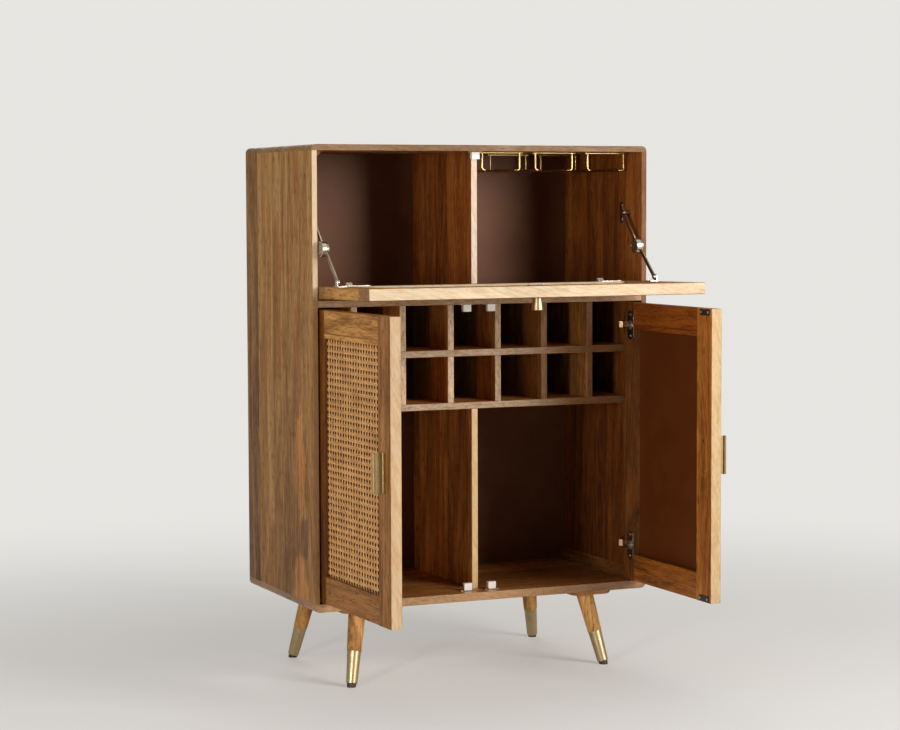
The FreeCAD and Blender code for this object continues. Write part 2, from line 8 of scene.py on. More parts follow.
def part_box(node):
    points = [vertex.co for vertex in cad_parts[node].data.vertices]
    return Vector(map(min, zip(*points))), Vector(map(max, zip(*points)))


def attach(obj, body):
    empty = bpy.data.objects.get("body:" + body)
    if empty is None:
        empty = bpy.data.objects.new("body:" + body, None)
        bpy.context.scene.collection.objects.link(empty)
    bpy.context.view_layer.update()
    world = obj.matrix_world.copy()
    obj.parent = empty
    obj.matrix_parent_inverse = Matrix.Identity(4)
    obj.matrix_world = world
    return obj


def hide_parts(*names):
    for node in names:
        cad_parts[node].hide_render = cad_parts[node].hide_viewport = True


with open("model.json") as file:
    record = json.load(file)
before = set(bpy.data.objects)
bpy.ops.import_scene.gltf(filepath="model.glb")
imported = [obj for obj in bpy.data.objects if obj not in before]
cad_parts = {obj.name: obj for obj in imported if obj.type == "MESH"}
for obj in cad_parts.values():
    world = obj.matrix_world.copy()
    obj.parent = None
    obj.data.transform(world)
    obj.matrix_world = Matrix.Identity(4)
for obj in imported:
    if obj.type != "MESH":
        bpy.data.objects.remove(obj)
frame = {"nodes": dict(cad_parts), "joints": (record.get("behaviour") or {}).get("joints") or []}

nodes = frame["nodes"]
joints = {joint["name"]: joint for joint in frame["joints"]}
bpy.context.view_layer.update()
print("frame loaded:", len(nodes), "nodes")

# camera at the photograph's viewing angle, turned by yaw about the vertical, then tilted down and rolled
cameraSet = {"place": (-2.145, -4.8936, 1.0497), "yaw": 23.774, "tilt": 3.989, "roll": -0.202,
             "lens": 94.48, "sensor": 36.0, "farthest": 100.0}


def makeCamera(setup):
    yaw, tilt, roll = (math.radians(setup[key]) for key in ("yaw", "tilt", "roll"))
    level = Vector((math.sin(yaw), math.cos(yaw), 0))
    upright = Vector((0, 0, 1))
    aside = Vector((math.cos(yaw), -math.sin(yaw), 0))
    ahead = level * math.cos(tilt) - upright * math.sin(tilt)
    above = upright * math.cos(tilt) + level * math.sin(tilt)
    right = aside * math.cos(roll) + above * math.sin(roll)
    top = above * math.cos(roll) - aside * math.sin(roll)
    data = bpy.data.cameras.new("photoCamera")
    data.sensor_width = setup["sensor"]
    data.lens = setup["lens"]
    data.clip_end = setup["farthest"]
    camera = bpy.data.objects.new("photoCamera", data)
    turn = Matrix((right, top, -ahead)).transposed()
    camera.matrix_world = Matrix.Translation(setup["place"]) @ turn.to_4x4()
    bpy.context.scene.collection.objects.link(camera)
    bpy.context.scene.camera = camera


makeCamera(cameraSet)
bpy.context.scene.view_settings.view_transform = "Standard"
print("camera set")


# node helpers: put adds one node, its sockets given as links or plain values
def put(tree, kind, sockets=None, **settings):
    made = tree.nodes.new("ShaderNode" + kind)
    for key, value in settings.items():
        setattr(made, key, value)
    for key, value in (sockets or {}).items():
        if isinstance(value, bpy.types.NodeSocket):
            tree.links.new(value, made.inputs[key])
        else:
            made.inputs[key].default_value = value
    return made


def calc(tree, operation, first, second=0.0):
    return put(tree, "Math", {0: first, 1: second}, operation=operation).outputs[0]


def blendColour(tree, share, first, second, mode="MIX"):
    first = (*first, 1) if isinstance(first, tuple) else first
    second = (*second, 1) if isinstance(second, tuple) else second
    return put(tree, "Mix", {0: share, 6: first, 7: second}, data_type="RGBA", blend_type=mode).outputs[2]


def noise(tree, vector, scale, detail=2.0, rough=0.5, twist=0.0):
    return put(tree, "TexNoise", {"Vector": vector, "Scale": scale, "Detail": detail, "Roughness": rough,
                                  "Distortion": twist}).outputs[0]


# noise along one number only
def lineNoise(tree, value, detail):
    sockets = {"W": value, "Scale": 1.0, "Detail": detail}
    return put(tree, "TexNoise", sockets, noise_dimensions="1D").outputs[0]


def stepBetween(tree, value, low, high, start=0.0, end=1.0):
    sockets = {"Value": value, "From Min": low, "From Max": high, "To Min": start, "To Max": end}
    return put(tree, "MapRange", sockets, interpolation_type="SMOOTHSTEP").outputs[0]


def rampColour(tree, share, stops):
    made = put(tree, "ValToRGB", {0: share})
    bar = made.color_ramp.elements
    while len(bar) < len(stops):
        bar.new(0.5)
    for element, (place, colour) in zip(bar, stops):
        element.position = place
        element.color = (*colour, 1)
    return made.outputs[0]


def spread(tree, across, deep, along):
    return put(tree, "CombineXYZ", {0: across, 1: deep, 2: along}).outputs[0]


# a start value plus each socket times its weight
def weigh(tree, start, *terms):
    total = start
    for value, weight in terms:
        total = put(tree, "Math", {0: value, 1: weight, 2: total}, operation="MULTIPLY_ADD").outputs[0]
    return total


# two sockets, each times its weight, added
def addShares(tree, first, firstWeight, second, secondWeight):
    one = calc(tree, "MULTIPLY", first, firstWeight)
    other = calc(tree, "MULTIPLY", second, secondWeight)
    return calc(tree, "ADD", one, other)


def startMaterial(name):
    made = bpy.data.materials.new(name)
    made.use_nodes = True
    tree = made.node_tree
    tree.nodes.clear()
    shader = put(tree, "BsdfPrincipled")
    out = put(tree, "OutputMaterial")
    tree.links.new(shader.outputs[0], out.inputs[0])
    return made, tree, shader


# every surface: fine relief on top of edges that look slightly rounded
surfaceSet = {"relief": 0.6, "bevelSamples": 4}


def finishSurface(tree, shader, colour, rough, height, depth, edge):
    soft = put(tree, "Bevel", {"Radius": edge}, samples=surfaceSet["bevelSamples"]).outputs[0]
    sockets = {"Strength": surfaceSet["relief"], "Distance": depth, "Height": height, "Normal": soft}
    bump = put(tree, "Bump", sockets).outputs[0]
    tree.links.new(colour, shader.inputs["Base Color"])
    tree.links.new(rough, shader.inputs["Roughness"])
    tree.links.new(bump, shader.inputs["Normal"])


# oiled mango wood glued up from strips: each strip has its own tone, grain runs along one axis
woodSet = {"dark": (0.100, 0.043, 0.013), "mid": (0.345, 0.172, 0.050), "light": (0.60, 0.350, 0.125),
           "olive": (0.150, 0.092, 0.034), "orange": (0.50, 0.205, 0.050), "pore": (0.050, 0.021, 0.008),
           "flameLow": (0.28, 0.105, 0.026), "flameHigh": (0.90, 0.42, 0.13), "heart": (0.215, 0.092, 0.024),
           "endGrain": (0.50, 0.28, 0.103), "joint": (0.055, 0.022, 0.008), "toneStops": (0.06, 0.48, 0.92),
           "strip": 0.092, "swayPace": 9.0, "sway": 0.9, "slide": 7.0, "stretch": (0.15, 0.13, 0.10),
           "ringPace": 360.0, "ringCloud": 60.0, "contrast": 0.52, "toneStart": 0.12, "middle": 0.67,
           "warmth": (0.15, 0.75), "raggedness": 1.7, "rearFade": 0.006, "edge": 0.0008,
           "bumpDepth": 0.00035, "rough": (0.64, 0.40), "sheen": 0.36}
# scale, detail, roughness and twist of each figure
woodNoise = {"flames": (14.0, 3.0, 0.5, 1.8), "patches": (20.0, 5.0, 0.62, 1.2),
             "cloud": (9.0, 2.0, 0.5, 1.0), "flecks": (300.0, 3.0, 0.65), "fibres": (620.0, 2.0, 0.6),
             "pores": (420.0, 0.0), "streaks": (26.0, 4.0, 0.6, 0.7), "border": (60.0, 4.0, 0.62),
             "specks": (420.0, 4.0, 0.7), "pits": (250.0, 4.0, 0.72), "slants": (120.0, 4.0, 0.6, 0.8)}
# where each figure begins and is full, then its least and its most
woodSteps = {"flames": (0.47, 0.57), "patches": (0.34, 0.66), "flecks": (0.30, 0.70), "pores": (0.64, 0.76),
             "streaks": (0.57, 0.72), "joint": (0.002, 0.016, 1.0, 0.0), "border": (1.62, 1.84, 0.85, 0.0),
             "turned": (0.4, 0.8), "cut": (0.6, 0.9), "specks": (0.3, 0.7), "slants": (0.42, 0.66, 0.0, 0.75),
             "ahead": (0.75, 0.97, 0.0, 0.88), "worn": (0.0, 0.9)}
# how much each figure adds to the tone, covers the colour, raises the surface or polishes it
toneWeights = {"patches": 0.36, "flecks": 0.20, "rings": 0.08, "fibres": 0.12}
coverWeights = {"streaks": 0.68, "pores": 0.62, "joint": 0.55, "cut": 0.65}
heightWeights = {"fibres": 0.5, "pores": -1.0, "joint": -1.0}
polishWeights = {"flecks": 0.5, "pores": -0.4, "patches": 0.4}
# planed edges: a level that the pores' strength lowers, pores stretched along the board, and slanting streaks
planedSet = {"stops": [(0.30, (0.56, 0.52, 0.46)), (0.46, (0.98, 0.98, 0.98)), (0.70, (1.18, 1.20, 1.24))],
             "level": 0.40, "drop": 0.54, "pits": 1.08, "tone": 0.20, "poreStretch": 0.32, "slant": 0.33,
             "slantStretch": 0.12, "plain": (1.03, 1.03, 1.03), "streak": (0.90, 0.76, 0.58)}


# an edge turned to the front is planed last and keeps its own tone, which may change along the board; on some
# boards that change is painted shade
def planedEdge(tree, setup, tone, acrossAt, deepAt, alongAt):
    pits = setup.get("pits", 1.0)
    poreAt = spread(tree, acrossAt, deepAt, calc(tree, "MULTIPLY", alongAt, planedSet["poreStretch"]))
    pitted = weigh(tree, planedSet["level"] - planedSet["drop"] * pits,
                   (noise(tree, poreAt, *woodNoise["pits"]), planedSet["pits"] * pits),
                   (tone, planedSet["tone"]))
    pores = rampColour(tree, pitted, planedSet["stops"])
    slant = weigh(tree, acrossAt, (deepAt, 1.0), (alongAt, planedSet["slant"]))
    slantAt = spread(tree, slant, 0.0, calc(tree, "MULTIPLY", alongAt, planedSet["slantStretch"]))
    grained = stepBetween(tree, noise(tree, slantAt, *woodNoise["slants"]), *woodSteps["slants"])
    streaked = blendColour(tree, grained, planedSet["plain"], planedSet["streak"])
    planed = blendColour(tree, 1.0, setup["front"], pores, "MULTIPLY")
    planed = blendColour(tree, 1.0, planed, streaked, "MULTIPLY")
    # second tone along the board: the change between the tones is painted shade on the left side's edge and
    # on the rack board's edge
    if "later" in setup:
        start, end, second = setup["later"]
        second = blendColour(tree, 1.0, second, pores, "MULTIPLY")
        planed = blendColour(tree, stepBetween(tree, alongAt, start, end), planed, second)
    return planed


def makeWood(name, setup):
    made, tree, shader = startMaterial(name)
    where = put(tree, "TexCoord")
    place = put(tree, "SeparateXYZ", {0: where.outputs["Object"]}).outputs
    facing = put(tree, "SeparateXYZ", {0: where.outputs["Normal"]}).outputs
    order = "XYZ"
    along, across = setup["grain"]
    deep = [axis for axis in order if axis not in (along, across)][0]
    acrossAt, deepAt, alongAt = (place[order.index(axis)] for axis in (across, deep, along))

    def figure(key, at):
        return noise(tree, at, *woodNoise[key])

    def masked(key, value):
        return stepBetween(tree, value, *woodSteps[key])

    # strip number from the distance across, swayed so that the strips differ in width
    strip = setup.get("strip", woodSet["strip"])
    sway = lineNoise(tree, calc(tree, "MULTIPLY", acrossAt, woodSet["swayPace"]), 0.0)
    count = weigh(tree, setup["seed"], (acrossAt, 1.0 / strip), (sway, woodSet["sway"]))
    number = calc(tree, "FLOOR", count)
    part = calc(tree, "SUBTRACT", count, number)
    chance = put(tree, "TexWhiteNoise", {"W": number}, noise_dimensions="1D")
    rolls = put(tree, "SeparateColor", {0: chance.outputs["Color"]}).outputs
    gap = calc(tree, "MINIMUM", part, calc(tree, "SUBTRACT", 1.0, part))
    joint = masked("joint", gap)
    # stretched spaces: the figure is slow along the grain and quick across it, and each strip has its own
    slide = calc(tree, "MULTIPLY", rolls[0], woodSet["slide"])
    slid = calc(tree, "ADD", acrossAt, slide)
    flameAt, patchAt, fleckAt = (spread(tree, slid, deepAt, weigh(tree, slide, (alongAt, stretch)))
                                 for stretch in woodSet["stretch"])
    flames = masked("flames", figure("flames", flameAt))
    patches = masked("patches", figure("patches", patchAt))
    cloud = figure("cloud", patchAt)
    ringAt = weigh(tree, 0.0, (acrossAt, woodSet["ringPace"]), (cloud, woodSet["ringCloud"]))
    rings = calc(tree, "SINE", ringAt)
    flecks = masked("flecks", figure("flecks", fleckAt))
    fibres = figure("fibres", fleckAt)
    pores = masked("pores", figure("pores", fleckAt))
    streaks = masked("streaks", figure("streaks", flameAt))
    contrast = setup.get("contrast", woodSet["contrast"])
    tone = weigh(tree, woodSet["toneStart"] - contrast / 2, (patches, toneWeights["patches"]),
                 (flecks, toneWeights["flecks"]), (rings, toneWeights["rings"]), (rolls[1], contrast),
                 (fibres, toneWeights["fibres"]))
    if "lean" in setup:
        tone = weigh(tree, tone, (calc(tree, "SUBTRACT", alongAt, woodSet["middle"]), setup["lean"]))
    tones = [woodSet[key] for key in ("dark", "mid", "light")]
    colour = rampColour(tree, tone, list(zip(woodSet["toneStops"], tones)))
    least, more = woodSet["warmth"]
    warm = calc(tree, "MULTIPLY", flames, weigh(tree, least, (rolls[2], more)))
    colour = blendColour(tree, warm, colour, blendColour(tree, tone, woodSet["dark"], woodSet["orange"]))
    # a blaze is one flame with a ragged border: its two tones, then middle and half size across and along
    for low, high, *reaches in setup.get("blazes", ()):
        shares = [calc(tree, "DIVIDE", calc(tree, "SUBTRACT", at, middle), half)
                  for at, (middle, half) in zip((acrossAt, alongAt), reaches)]
        reach = put(tree, "VectorMath", {0: spread(tree, *shares, 0.0)}, operation="LENGTH").outputs["Value"]
        ragged = weigh(tree, reach, (figure("border", flameAt), woodSet["raggedness"]))
        flame = blendColour(tree, tone, woodSet[low], woodSet[high])
        colour = blendColour(tree, masked("border", ragged), colour, flame)
    covers = (("streaks", streaks, "olive"), ("pores", pores, "pore"), ("joint", joint, "joint"))
    for key, mask, over in covers:
        colour = blendColour(tree, calc(tree, "MULTIPLY", mask, coverWeights[key]), colour, woodSet[over])
    tint = setup["tint"]
    # faces turned right take their own tint; on several boards the two tints differ as painted light and
    # painted shade
    if "turned" in setup:
        tint = blendColour(tree, masked("turned", facing[0]), tint, setup["turned"])
    # painted shade: a darker tint behind a given depth
    if "rear" in setup:
        start, second = setup["rear"]
        behind = stepBetween(tree, place[1], start, start + woodSet["rearFade"])
        tint = blendColour(tree, behind, tint, second)
    colour = blendColour(tree, 1.0, colour, tint, "MULTIPLY")
    # sawn ends show open pores, a little redder and darker
    cut = masked("cut", calc(tree, "ABSOLUTE", facing[order.index(along)]))
    specks = masked("specks", figure("specks", spread(tree, acrossAt, deepAt, 0.0)))
    endColour = blendColour(tree, specks, woodSet["pore"], woodSet["endGrain"])
    colour = blendColour(tree, calc(tree, "MULTIPLY", cut, coverWeights["cut"]), colour, endColour)
    if "front" in setup:
        planed = planedEdge(tree, setup, tone, acrossAt, deepAt, alongAt)
        ahead = masked("ahead", calc(tree, "MULTIPLY", facing[1], -1.0))
        colour = blendColour(tree, ahead, colour, planed)
    height = weigh(tree, 0.0, (fibres, heightWeights["fibres"]), (pores, heightWeights["pores"]),
                   (joint, heightWeights["joint"]))
    gloss = setup.get("gloss", 0.0)
    worn = weigh(tree, 0.0, (flecks, polishWeights["flecks"]), (pores, polishWeights["pores"]),
                 (patches, polishWeights["patches"]))
    roughest, smoothest = woodSet["rough"]
    rough = stepBetween(tree, worn, *woodSteps["worn"], roughest - gloss, smoothest - gloss)
    shader.inputs["Specular IOR Level"].default_value = woodSet["sheen"] + gloss
    finishSurface(tree, shader, colour, rough, height, woodSet["bumpDepth"], woodSet["edge"])
    return made


# smooth stained board: back of the carcass and backings of the leaves, with painted shade on the face that
# the cane covers, standing in for the shadow seen through its holes
boardLook = {"fine": (900.0, 3.0, 0.65), "broad": (14.0, 3.0, 0.6), "fineShare": 0.6, "broadShare": 0.4,
             "flecks": (0.3, 0.7), "cover": (0.5, 0.8), "wear": (0.2, 0.8), "smoother": 0.04, "rougher": 0.06,
             "shine": (1.0, 0.60, 0.46), "bumpDepth": 0.00008, "edge": 0.0004}
boardSet = {"back": {"base": (0.095, 0.033, 0.0125), "fleck": (0.135, 0.056, 0.025), "rough": 0.36,
                     "sheen": 0.34}}
# backings of the leaves: the last colour is painted shade on the face behind the cane
backingSet = {"base": (0.092, 0.021, 0.0037), "fleck": (0.135, 0.036, 0.0075), "rough": 0.46, "sheen": 0.35,
              "shadeUnderCane": (0.022, 0.009, 0.004)}
outwards = {"left_door": ("X", -1.0), "right_door": ("X", 1.0), "flap": ("Z", -1.0)}
boardSet.update({body: {**backingSet, "outward": outward} for body, outward in outwards.items()})


def makeBoard(name, setup):
    made, tree, shader = startMaterial(name)
    spot = put(tree, "TexCoord").outputs
    fine = noise(tree, spot["Object"], *boardLook["fine"])
    broad = noise(tree, spot["Object"], *boardLook["broad"])
    share = addShares(tree, fine, boardLook["fineShare"], broad, boardLook["broadShare"])
    colour = blendColour(tree, stepBetween(tree, share, *boardLook["flecks"]), setup["base"], setup["fleck"])
    # painted shade: the face turned towards the cane is darkened
    if "outward" in setup:
        axis, sign = setup["outward"]
        facing = put(tree, "SeparateXYZ", {0: spot["Normal"]}).outputs[axis]
        shadeUnderCane = stepBetween(tree, calc(tree, "MULTIPLY", facing, sign), *boardLook["cover"])
        colour = blendColour(tree, shadeUnderCane, colour, setup["shadeUnderCane"])
    least, most = setup["rough"] - boardLook["smoother"], setup["rough"] + boardLook["rougher"]
    rough = stepBetween(tree, share, *boardLook["wear"], least, most)
    shader.inputs["Specular Tint"].default_value = (*boardLook["shine"], 1)
    shader.inputs["Specular IOR Level"].default_value = setup["sheen"]
    finishSurface(tree, shader, colour, rough, fine, boardLook["bumpDepth"], boardLook["edge"])
    return made


# split rattan: a glossy golden skin, each strand with its own tone and dark nodes here and there
caneSet = {"pale": (0.92, 0.515, 0.19), "deep": (0.53, 0.245, 0.075), "knot": (0.20, 0.08, 0.03),
           "grain": (650.0, 3.0, 0.6), "drift": (22.0, 2.0), "runPace": 18.0, "strandPace": 90.0,
           "strandShare": 0.45, "driftShare": 0.4, "grainShare": 0.25, "tones": (0.2, 0.85),
           "knots": (0.68, 0.8, 0.0, 0.55), "rough": (0.2, 0.8, 0.36, 0.52), "relief": 0.4,
           "bumpDepth": 0.0001}


def makeCane(name):
    made, tree, shader = startMaterial(name)
    where = put(tree, "TexCoord").outputs["Object"]
    strand = put(tree, "Attribute", attribute_name="strandTone").outputs["Fac"]
    run = put(tree, "Attribute", attribute_name="strandRun").outputs["Fac"]
    grain = noise(tree, where, *caneSet["grain"])
    drift = noise(tree, where, *caneSet["drift"])
    spots = lineNoise(tree, addShares(tree, run, caneSet["runPace"], strand, caneSet["strandPace"]), 1.0)
    share = addShares(tree, strand, caneSet["strandShare"], drift, caneSet["driftShare"])
    share = calc(tree, "ADD", share, calc(tree, "MULTIPLY", grain, caneSet["grainShare"]))
    colour = blendColour(tree, stepBetween(tree, share, *caneSet["tones"]), caneSet["deep"], caneSet["pale"])
    colour = blendColour(tree, stepBetween(tree, spots, *caneSet["knots"]), colour, caneSet["knot"])
    rough = stepBetween(tree, grain, *caneSet["rough"])
    sockets = {"Strength": caneSet["relief"], "Distance": caneSet["bumpDepth"], "Height": grain}
    tree.links.new(colour, shader.inputs["Base Color"])
    tree.links.new(rough, shader.inputs["Roughness"])
    tree.links.new(put(tree, "Bump", sockets).outputs[0], shader.inputs["Normal"])
    return made


# metals: brushed along one axis, with handling marks that dull the shine
metalLook = {"brush": (2600.0, 2.0, 0.6), "stretch": 0.03, "brushShare": 0.5, "marks": (55.0, 4.0, 0.65, 0.5),
             "markShare": 0.5, "shades": (0.42, 0.78), "wear": (0.3, 0.7), "smoother": 0.05, "rougher": 0.1,
             "bumpDepth": 0.00003, "edge": 0.0005}
metalSet = {"brass": {"base": (0.50, 0.385, 0.215), "shade": (0.39, 0.285, 0.145), "rough": 0.33},
            "pull": {"base": (0.38, 0.27, 0.125), "shade": (0.28, 0.19, 0.08), "rough": 0.30},
            "wire": {"base": (0.58, 0.41, 0.16), "shade": (0.42, 0.27, 0.09), "rough": 0.27, "brush": "Y"},
            "nickel": {"base": (0.62, 0.57, 0.50), "shade": (0.40, 0.35, 0.28), "rough": 0.24},
            "plate": {"base": (0.72, 0.67, 0.58), "shade": (0.52, 0.46, 0.38), "rough": 0.46},
            # door hinge arms: a plate metal warmed and darkened as a painted reflection of the wood around it
            "plateWithPaintedReflection": {"base": (0.42, 0.265, 0.155), "shade": (0.30, 0.185, 0.105), "rough": 0.34},
            "antique": {"base": (0.40, 0.35, 0.28), "shade": (0.18, 0.14, 0.10), "rough": 0.28},
            "bronze": {"base": (0.40, 0.335, 0.245), "shade": (0.20, 0.155, 0.105), "rough": 0.30}}


def makeMetal(name, setup):
    made, tree, shader = startMaterial(name)
    where = put(tree, "TexCoord").outputs["Object"]
    brushed = setup.get("brush", "Z")
    thin = tuple(metalLook["stretch"] if axis == brushed else 1 for axis in "XYZ")
    lines = put(tree, "Mapping", {"Vector": where, "Scale": thin}).outputs[0]
    brush = noise(tree, lines, *metalLook["brush"])
    marks = noise(tree, where, *metalLook["marks"])
    colour = blendColour(tree, stepBetween(tree, marks, *metalLook["shades"]), setup["base"], setup["shade"])
    share = addShares(tree, brush, metalLook["brushShare"], marks, metalLook["markShare"])
    least, most = setup["rough"] - metalLook["smoother"], setup["rough"] + metalLook["rougher"]
    rough = stepBetween(tree, share, *metalLook["wear"], least, most)
    shader.inputs["Metallic"].default_value = 1.0
    finishSurface(tree, shader, colour, rough, brush, metalLook["bumpDepth"], metalLook["edge"])
    return made


# moulded plastic and paint: faint mottling and a fine moulded skin
plasticLook = {"skin": (1500.0, 2.0), "marks": (70.0, 4.0, 0.65), "shades": (0.4, 0.8), "wear": (0.3, 0.8),
               "smoother": 0.06, "rougher": 0.1, "bumpDepth": 0.00005, "edge": 0.0006}
plasticSet = {"strikeBlack": {"base": (0.018, 0.017, 0.016), "shade": (0.035, 0.032, 0.03), "rough": 0.38},
              "glideBrown": {"base": (0.05, 0.022, 0.013), "shade": (0.028, 0.013, 0.009), "rough": 0.5},
              "catchWhite": {"base": (0.90, 0.89, 0.83), "shade": (0.80, 0.78, 0.71), "rough": 0.42,
                             "steel": (0.11, 0.10, 0.09), "plate": 0.0016, "plateFade": 0.0003}}


# 1 on the steel plate of a catch, which lies within its thickness of the floor, the shelf or the ceiling
def nearBoard(tree, where, setup):
    low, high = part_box("magnet_catches")
    height = put(tree, "SeparateXYZ", {0: where}).outputs[2]
    gap = calc(tree, "SUBTRACT", height, low.z)
    for level in (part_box("middle_shelf")[0].z, high.z):
        gap = calc(tree, "MINIMUM", gap, calc(tree, "ABSOLUTE", calc(tree, "SUBTRACT", height, level)))
    return stepBetween(tree, gap, setup["plate"], setup["plate"] + setup["plateFade"], 1.0, 0.0)


def makePlastic(name, setup):
    made, tree, shader = startMaterial(name)
    where = put(tree, "TexCoord").outputs["Object"]
    skin = noise(tree, where, *plasticLook["skin"])
    marks = noise(tree, where, *plasticLook["marks"])
    mottle = stepBetween(tree, marks, *plasticLook["shades"])
    colour = blendColour(tree, mottle, setup["base"], setup["shade"])
    least, most = setup["rough"] - plasticLook["smoother"], setup["rough"] + plasticLook["rougher"]
    rough = stepBetween(tree, marks, *plasticLook["wear"], least, most)
    if "steel" in setup:
        steel = nearBoard(tree, where, setup)
        colour = blendColour(tree, steel, colour, setup["steel"])
        tree.links.new(steel, shader.inputs["Metallic"])
    finishSurface(tree, shader, colour, rough, skin, plasticLook["bumpDepth"], plasticLook["edge"])
    return made


# each board: axes along and across the grain, a seed, a tint, the tint of faces turned to the right, the tint
# behind a given depth, and the tone and pores of an edge turned to the front, which may change along it; on
# several boards these tints and tones carry painted light and painted shade, noted at each
boardsOfWood = {
    "sideLeft": {"grain": "ZY", "seed": 3.0, "contrast": 0.80, "lean": 0.28, "tint": (0.95, 0.88, 0.70),
                 "blazes": (("flameLow", "flameHigh", (-0.131, 0.028), (0.48, 0.14)),
                            ("dark", "heart", (-0.154, 0.030), (0.322, 0.058)),
                            ("flameLow", "flameHigh", (-0.128, 0.045), (0.205, 0.095))),
                 # painted shade: the front edge is dark below the flap level and pale above it
                 "front": (0.30, 0.16, 0.07), "later": (0.835, 0.862, (0.64, 0.49, 0.33)), "pits": 0.5},
    # painted shade: the inner face is tinted darker and redder than the face turned right, and the front edge
    # is dark
    "sideRight": {"grain": "ZY", "seed": 11.0, "contrast": 0.45, "lean": 0.22, "tint": (0.72, 0.43, 0.23),
                  "turned": (1.0, 0.93, 0.75), "front": (0.150, 0.052, 0.011)},
    "top": {"grain": "XY", "seed": 5.0, "contrast": 0.72, "tint": (1.0, 0.95, 0.85),
            "front": (0.18, 0.098, 0.037)},
    "bottom": {"grain": "XY", "seed": 8.0, "gloss": 0.18, "tint": (1.25, 1.02, 0.82),
               "front": (0.42, 0.245, 0.108), "later": (-0.02, 0.20, (0.23, 0.112, 0.042))},
    "shelf": {"grain": "XY", "seed": 17.0, "tint": (1.1, 0.88, 0.66), "front": (0.36, 0.238, 0.134),
              "pits": 1.3},
    "upperUpright": {"grain": "ZY", "seed": 23.0, "contrast": 0.40, "tint": (0.95, 0.58, 0.36),
                     "front": (0.82, 0.69, 0.55), "pits": 0.4},
    # painted light: the face turned left is lightened well past the face turned right
    "lowerUpright": {"grain": "ZY", "seed": 27.0, "contrast": 0.30, "tint": (2.0, 2.0, 1.9),
                     "turned": (1.0, 0.9, 0.75), "front": (0.70, 0.52, 0.28), "pits": 0.4},
    # rack dividers: painted light on the left ones, painted shade growing towards the right ones with dark
    # front edges, and on each a darker painted shade behind a given depth
    "rackLeft": {"grain": "ZY", "seed": 33.0, "contrast": 0.35, "tint": (1.65, 1.40, 1.20),
                 "rear": (-0.062, (0.70, 0.80, 0.95)), "front": (0.60, 0.46, 0.31), "pits": 1.4},
    "rackMiddle": {"grain": "ZY", "seed": 35.0, "contrast": 0.35, "tint": (1.25, 1.05, 0.90),
                   "rear": (-0.062, (0.65, 0.75, 0.90)), "front": (0.46, 0.33, 0.21), "pits": 1.4},
    "rackRight": {"grain": "ZY", "seed": 36.0, "contrast": 0.35, "tint": (0.95, 0.75, 0.55),
                  "rear": (-0.062, (0.60, 0.65, 0.75)), "front": (0.17, 0.082, 0.031)},
    # painted shade: the rack board's front edge darkens towards the right
    "rackBoard": {"grain": "XY", "seed": 29.0, "tint": (0.95, 0.78, 0.58), "front": (0.46, 0.345, 0.235),
                  "later": (0.04, 0.25, (0.135, 0.064, 0.025)), "pits": 1.4},
    # painted shade: the left door's hinge stile is tinted darker than the rest of its frame
    "leftStile": {"grain": "ZY", "seed": 31.0, "strip": 0.3, "tint": (0.56, 0.37, 0.165)},
    "leftFree": {"grain": "ZY", "seed": 34.0, "strip": 0.3, "tint": (0.94, 0.76, 0.52),
                 "front": (0.57, 0.41, 0.25), "pits": 0.35},
    "leftTopRail": {"grain": "YZ", "seed": 37.0, "strip": 0.3, "tint": (1.48, 1.34, 0.96)},
    "leftLowRail": {"grain": "YZ", "seed": 40.0, "strip": 0.3, "tint": (0.81, 0.61, 0.31)},
    # right door: the tints of faces turned left are set part by part as painted light and painted shade;
    # faces turned right keep plainer tints
    "rightStile": {"grain": "ZY", "seed": 38.0, "strip": 0.3, "tint": (0.64, 0.47, 0.32),
                   "turned": (0.80, 0.66, 0.44)},
    "rightFree": {"grain": "ZY", "seed": 42.0, "strip": 0.3, "tint": (1.36, 0.96, 0.49),
                  "turned": (0.95, 0.78, 0.52), "front": (0.57, 0.415, 0.23), "pits": 0.35},
    "rightTopRail": {"grain": "YZ", "seed": 39.0, "strip": 0.3, "tint": (0.68, 0.33, 0.092),
                     "turned": (0.98, 0.82, 0.54)},
    "rightLowRail": {"grain": "YZ", "seed": 44.0, "strip": 0.3, "tint": (1.30, 0.85, 0.31),
                     "turned": (1.0, 0.80, 0.48)},
    "flapRail": {"grain": "XY", "seed": 41.0, "strip": 0.3, "tint": (1.0, 0.9, 0.75),
                 "front": (0.64, 0.52, 0.36), "pits": 0.4},
    "flapStile": {"grain": "YX", "seed": 43.0, "strip": 0.3, "tint": (1.13, 0.96, 0.63)},
    "leg": {"grain": "ZX", "seed": 47.0, "strip": 0.3, "tint": (1.42, 1.38, 1.16)},
    "block": {"grain": "XY", "seed": 53.0, "strip": 0.3, "tint": (1.15, 1.1, 1.0)},
    "cornerStrip": {"grain": "YZ", "seed": 59.0, "strip": 0.3, "tint": (1.05, 0.9, 0.7)}}
wood = {key: makeWood("mango_" + key, setup) for key, setup in boardsOfWood.items()}
boards = {key: makeBoard("stained_" + key, setup) for key, setup in boardSet.items()}
metals = {key: makeMetal("metal_" + key, setup) for key, setup in metalSet.items()}
plastics = {key: makePlastic("plastic_" + key, setup) for key, setup in plasticSet.items()}
cane = makeCane("splitRattan")
print("materials made:", len(bpy.data.materials))

